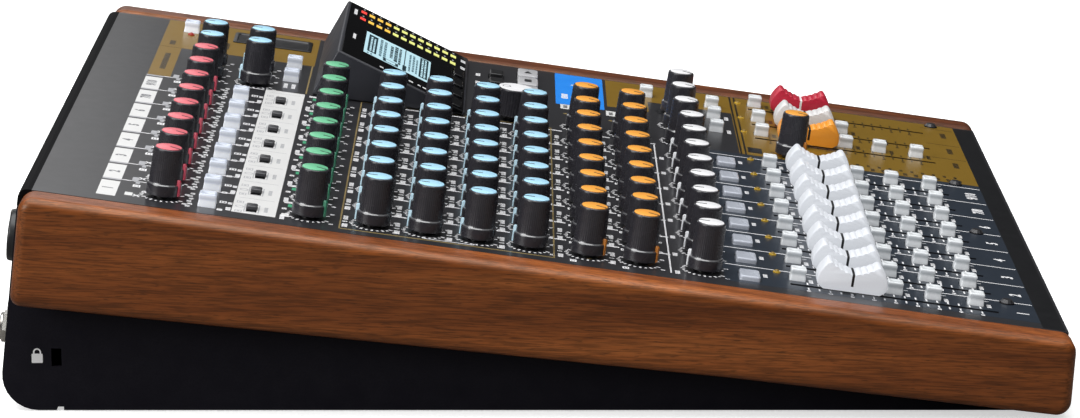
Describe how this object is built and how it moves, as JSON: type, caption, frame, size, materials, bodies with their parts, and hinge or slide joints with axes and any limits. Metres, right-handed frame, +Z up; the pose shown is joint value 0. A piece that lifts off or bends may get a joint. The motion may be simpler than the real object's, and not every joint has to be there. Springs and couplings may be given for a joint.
{
  "type": "mixing console",
  "caption": "compact audio mixing console with wooden side cheeks, sloping control panel, rotary knobs, push buttons, sliding faders and a raised display",
  "frame": {"origin": "centre of the bounding box, on the surface that the feet stand on", "axes": "X runs from the left cheek to the right one as the operator sees it, +Y points to the rear sockets, +Z is up"},
  "size_m": [0.343, 0.3599, 0.0879],
  "materials": {
    "black_steel": "fine satin powder coat",
    "panel_paint": "satin dark grey paint with printed scales",
    "walnut": "satin lacquered wood",
    "foot_rubber": "matt black rubber",
    "knob_plastic": "ribbed matt black plastic",
    "hood_plastic": "satin dark plastic",
    "window_glass": "gloss black window",
    "circuit_board": "green circuit board with black and silver parts",
    "clear_plastic": "clear frosted plastic",
    "white_plastic": "satin white plastic",
    "black_plastic": "matt black plastic",
    "orange_plastic": "satin orange plastic",
    "grey_plastic": "satin light grey plastic",
    "red_plastic": "satin red plastic",
    "silver_plastic": "silver painted plastic"
  },
  "bodies": {
    "console": {"top_panel": "panel_paint", "input_board": "circuit_board", "equaliser_board": "circuit_board", "send_board": "circuit_board", "fader_board": "circuit_board", "display_hood": "hood_plastic", "display_window": "window_glass", "card_slot": "black_plastic", "left_cheek": "walnut", "right_cheek": "walnut", "bottom_tray": "black_steel", "base_plate": "black_steel", "foot_1": "foot_rubber", "foot_2": "foot_rubber", "foot_3": "foot_rubber", "foot_4": "foot_rubber", "rear_socket_board": "circuit_board"},
    "gain_knob": {"gain_knob": "knob_plastic"},
    "compressor_knob": {"compressor_knob": "knob_plastic"},
    "treble_knob": {"treble_knob": "knob_plastic"},
    "upper_mid_knob": {"upper_mid_knob": "knob_plastic"},
    "lower_mid_knob": {"lower_mid_knob": "knob_plastic"},
    "bass_knob": {"bass_knob": "knob_plastic"},
    "send_1_knob": {"send_1_knob": "knob_plastic"},
    "send_2_knob": {"send_2_knob": "knob_plastic"},
    "pan_knob": {"pan_knob": "knob_plastic"},
    "monitor_knob_1": {"monitor_knob_1": "knob_plastic"},
    "monitor_knob_2": {"monitor_knob_2": "knob_plastic"},
    "monitor_knob_3": {"monitor_knob_3": "knob_plastic"},
    "monitor_knob_4": {"monitor_knob_4": "knob_plastic"},
    "effect_send_knob_1": {"effect_send_knob_1": "knob_plastic"},
    "effect_send_knob_2": {"effect_send_knob_2": "knob_plastic"},
    "level_knob_1": {"level_knob_1": "knob_plastic"},
    "level_knob_2": {"level_knob_2": "knob_plastic"},
    "level_knob_3": {"level_knob_3": "knob_plastic"},
    "phones_knob": {"phones_knob": "knob_plastic"},
    "jog_dial": {"jog_dial": "knob_plastic"},
    "low_cut_button": {"low_cut_button": "white_plastic"},
    "mute_button": {"mute_button": "clear_plastic"},
    "assign_button_1": {"assign_button_1": "clear_plastic"},
    "assign_button_2": {"assign_button_2": "clear_plastic"},
    "assign_button_3": {"assign_button_3": "clear_plastic"},
    "assign_button_4": {"assign_button_4": "clear_plastic"},
    "phantom_button": {"phantom_button": "white_plastic"},
    "menu_key": {"menu_key": "black_plastic"},
    "play_key": {"play_key": "silver_plastic"},
    "soft_key": {"soft_key": "black_plastic"},
    "power_button": {"power_button": "black_plastic"},
    "mode_switch": {"mode_switch": "black_plastic"},
    "channel_fader_1": {"channel_fader_1": "white_plastic"},
    "channel_fader_2": {"channel_fader_2": "white_plastic"},
    "channel_fader_3": {"channel_fader_3": "white_plastic"},
    "channel_fader_4": {"channel_fader_4": "white_plastic"},
    "channel_fader_5": {"channel_fader_5": "white_plastic"},
    "channel_fader_6": {"channel_fader_6": "white_plastic"},
    "channel_fader_7": {"channel_fader_7": "white_plastic"},
    "channel_fader_8": {"channel_fader_8": "white_plastic"},
    "effect_fader": {"effect_fader": "orange_plastic"},
    "group_fader": {"group_fader": "grey_plastic"},
    "main_fader": {"main_fader": "red_plastic"}
  },
  "joints": [
    {"name": "gain_knob_turn", "type": "hinge", "parent": "console", "child": "gain_knob", "pos_m": [-0.14035, 0.12296, 0.07501], "axis": [0, 0.1405, -0.9901], "range_deg": [0, 300]},
    {"name": "compressor_knob_turn", "type": "hinge", "parent": "console", "child": "compressor_knob", "pos_m": [-0.14035, 0.07425, 0.0681], "axis": [0, 0.1405, -0.9901], "range_deg": [0, 300]},
    {"name": "treble_knob_turn", "type": "hinge", "parent": "console", "child": "treble_knob", "pos_m": [-0.14035, 0.05286, 0.06507], "axis": [0, 0.1405, -0.9901], "range_deg": [-150, 150]},
    {"name": "upper_mid_knob_turn", "type": "hinge", "parent": "console", "child": "upper_mid_knob", "pos_m": [-0.14035, 0.03544, 0.0626], "axis": [0, 0.1405, -0.9901], "range_deg": [-150, 150]},
    {"name": "lower_mid_knob_turn", "type": "hinge", "parent": "console", "child": "lower_mid_knob", "pos_m": [-0.14035, 0.01791, 0.06011], "axis": [0, 0.1405, -0.9901], "range_deg": [-150, 150]},
    {"name": "bass_knob_turn", "type": "hinge", "parent": "console", "child": "bass_knob", "pos_m": [-0.14035, 0.00029, 0.05761], "axis": [0, 0.1405, -0.9901], "range_deg": [-150, 150]},
    {"name": "send_1_knob_turn", "type": "hinge", "parent": "console", "child": "send_1_knob", "pos_m": [-0.14035, -0.01922, 0.05484], "axis": [0, 0.1405, -0.9901], "range_deg": [0, 300]},
    {"name": "send_2_knob_turn", "type": "hinge", "parent": "console", "child": "send_2_knob", "pos_m": [-0.14035, -0.03674, 0.05236], "axis": [0, 0.1405, -0.9901], "range_deg": [0, 300]},
    {"name": "pan_knob_turn", "type": "hinge", "parent": "console", "child": "pan_knob", "pos_m": [-0.14035, -0.05833, 0.04929], "axis": [0, 0.1405, -0.9901], "range_deg": [-150, 150]},
    {"name": "monitor_knob_1_turn", "type": "hinge", "parent": "console", "child": "monitor_knob_1", "pos_m": [0.0567, 0.12256, 0.07496], "axis": [0, 0.1405, -0.9901], "range_deg": [-150, 150]},
    {"name": "monitor_knob_2_turn", "type": "hinge", "parent": "console", "child": "monitor_knob_2", "pos_m": [0.0792, 0.12256, 0.07496], "axis": [0, 0.1405, -0.9901], "range_deg": [-150, 150]},
    {"name": "monitor_knob_3_turn", "type": "hinge", "parent": "console", "child": "monitor_knob_3", "pos_m": [0.0567, 0.10444, 0.07239], "axis": [0, 0.1405, -0.9901], "range_deg": [-150, 150]},
    {"name": "monitor_knob_4_turn", "type": "hinge", "parent": "console", "child": "monitor_knob_4", "pos_m": [0.0792, 0.10444, 0.07239], "axis": [0, 0.1405, -0.9901], "range_deg": [-150, 150]},
    {"name": "effect_send_knob_1_turn", "type": "hinge", "parent": "console", "child": "effect_send_knob_1", "pos_m": [0.0567, -0.01922, 0.05484], "axis": [0, 0.1405, -0.9901], "range_deg": [0, 300]},
    {"name": "effect_send_knob_2_turn", "type": "hinge", "parent": "console", "child": "effect_send_knob_2", "pos_m": [0.0567, -0.03674, 0.05236], "axis": [0, 0.1405, -0.9901], "range_deg": [0, 300]},
    {"name": "level_knob_1_turn", "type": "hinge", "parent": "console", "child": "level_knob_1", "pos_m": [0.0567, -0.05714, 0.04946], "axis": [0, 0.1405, -0.9901], "range_deg": [0, 300]},
    {"name": "level_knob_2_turn", "type": "hinge", "parent": "console", "child": "level_knob_2", "pos_m": [0.0836, -0.05714, 0.04946], "axis": [0, 0.1405, -0.9901], "range_deg": [0, 300]},
    {"name": "level_knob_3_turn", "type": "hinge", "parent": "console", "child": "level_knob_3", "pos_m": [0.1087, -0.05714, 0.04946], "axis": [0, 0.1405, -0.9901], "range_deg": [0, 300]},
    {"name": "phones_knob_turn", "type": "hinge", "parent": "console", "child": "phones_knob", "pos_m": [0.059, -0.09932, 0.04348], "axis": [0, 0.1405, -0.9901], "range_deg": [0, 300]},
    {"name": "jog_dial_turn", "type": "hinge", "parent": "console", "child": "jog_dial", "pos_m": [0.057, 0.00692, 0.05855], "axis": [0, 0.1405, -0.9901], "continuous": true},
    {"name": "low_cut_button_press", "type": "slide", "parent": "console", "child": "low_cut_button", "axis": [0, 0.1405, -0.9901], "range_m": [0, 0.0009], "stiffness_N_per_m": 300, "springref_m": -0.0006},
    {"name": "mute_button_press", "type": "slide", "parent": "console", "child": "mute_button", "axis": [0, 0.1405, -0.9901], "range_m": [0, 0.0009], "stiffness_N_per_m": 300, "springref_m": -0.0006},
    {"name": "assign_button_1_press", "type": "slide", "parent": "console", "child": "assign_button_1", "axis": [0, 0.1405, -0.9901], "range_m": [0, 0.0009], "stiffness_N_per_m": 300, "springref_m": -0.0006},
    {"name": "assign_button_2_press", "type": "slide", "parent": "console", "child": "assign_button_2", "axis": [0, 0.1405, -0.9901], "range_m": [0, 0.0009], "stiffness_N_per_m": 300, "springref_m": -0.0006},
    {"name": "assign_button_3_press", "type": "slide", "parent": "console", "child": "assign_button_3", "axis": [0, 0.1405, -0.9901], "range_m": [0, 0.0009], "stiffness_N_per_m": 300, "springref_m": -0.0006},
    {"name": "assign_button_4_press", "type": "slide", "parent": "console", "child": "assign_button_4", "axis": [0, 0.1405, -0.9901], "range_m": [0, 0.0009], "stiffness_N_per_m": 300, "springref_m": -0.0006},
    {"name": "phantom_button_press", "type": "slide", "parent": "console", "child": "phantom_button", "axis": [0, 0.1405, -0.9901], "range_m": [0, 0.0009], "stiffness_N_per_m": 300, "springref_m": -0.0006},
    {"name": "menu_key_press", "type": "slide", "parent": "console", "child": "menu_key", "axis": [0, 0.1405, -0.9901], "range_m": [0, 0.0009], "stiffness_N_per_m": 300, "springref_m": -0.0006},
    {"name": "play_key_press", "type": "slide", "parent": "console", "child": "play_key", "axis": [0, 0.1405, -0.9901], "range_m": [0, 0.0009], "stiffness_N_per_m": 300, "springref_m": -0.0006},
    {"name": "soft_key_press", "type": "slide", "parent": "console", "child": "soft_key", "axis": [0, 0.449, -0.8935], "range_m": [0, 0.0006], "stiffness_N_per_m": 300, "springref_m": -0.0006},
    {"name": "power_button_press", "type": "slide", "parent": "console", "child": "power_button", "axis": [0, -0.9937, -0.1123], "range_m": [0, 0.0018], "stiffness_N_per_m": 400, "springref_m": -0.0006},
    {"name": "mode_switch_slide", "type": "slide", "parent": "console", "child": "mode_switch", "axis": [1, 0, 0], "range_m": [-0.0025, 0.0025]},
    {"name": "channel_fader_1_slide", "type": "slide", "parent": "console", "child": "channel_fader_1", "axis": [0, 0.9901, 0.1405], "range_m": [-0.0454, 0.0146]},
    {"name": "channel_fader_2_slide", "type": "slide", "parent": "console", "child": "channel_fader_2", "axis": [0, 0.9901, 0.1405], "range_m": [-0.0454, 0.0146]},
    {"name": "channel_fader_3_slide", "type": "slide", "parent": "console", "child": "channel_fader_3", "axis": [0, 0.9901, 0.1405], "range_m": [-0.0454, 0.0146]},
    {"name": "channel_fader_4_slide", "type": "slide", "parent": "console", "child": "channel_fader_4", "axis": [0, 0.9901, 0.1405], "range_m": [-0.0454, 0.0146]},
    {"name": "channel_fader_5_slide", "type": "slide", "parent": "console", "child": "channel_fader_5", "axis": [0, 0.9901, 0.1405], "range_m": [-0.0454, 0.0146]},
    {"name": "channel_fader_6_slide", "type": "slide", "parent": "console", "child": "channel_fader_6", "axis": [0, 0.9901, 0.1405], "range_m": [-0.0454, 0.0146]},
    {"name": "channel_fader_7_slide", "type": "slide", "parent": "console", "child": "channel_fader_7", "axis": [0, 0.9901, 0.1405], "range_m": [-0.0454, 0.0146]},
    {"name": "channel_fader_8_slide", "type": "slide", "parent": "console", "child": "channel_fader_8", "axis": [0, 0.9901, 0.1405], "range_m": [-0.0454, 0.0146]},
    {"name": "effect_fader_slide", "type": "slide", "parent": "console", "child": "effect_fader", "axis": [0, 0.9901, 0.1405], "range_m": [-0.0454, 0.0146]},
    {"name": "group_fader_slide", "type": "slide", "parent": "console", "child": "group_fader", "axis": [0, 0.9901, 0.1405], "range_m": [-0.0454, 0.0146]},
    {"name": "main_fader_slide", "type": "slide", "parent": "console", "child": "main_fader", "axis": [0, 0.9901, 0.1405], "range_m": [-0.0454, 0.0146]}
  ]
}
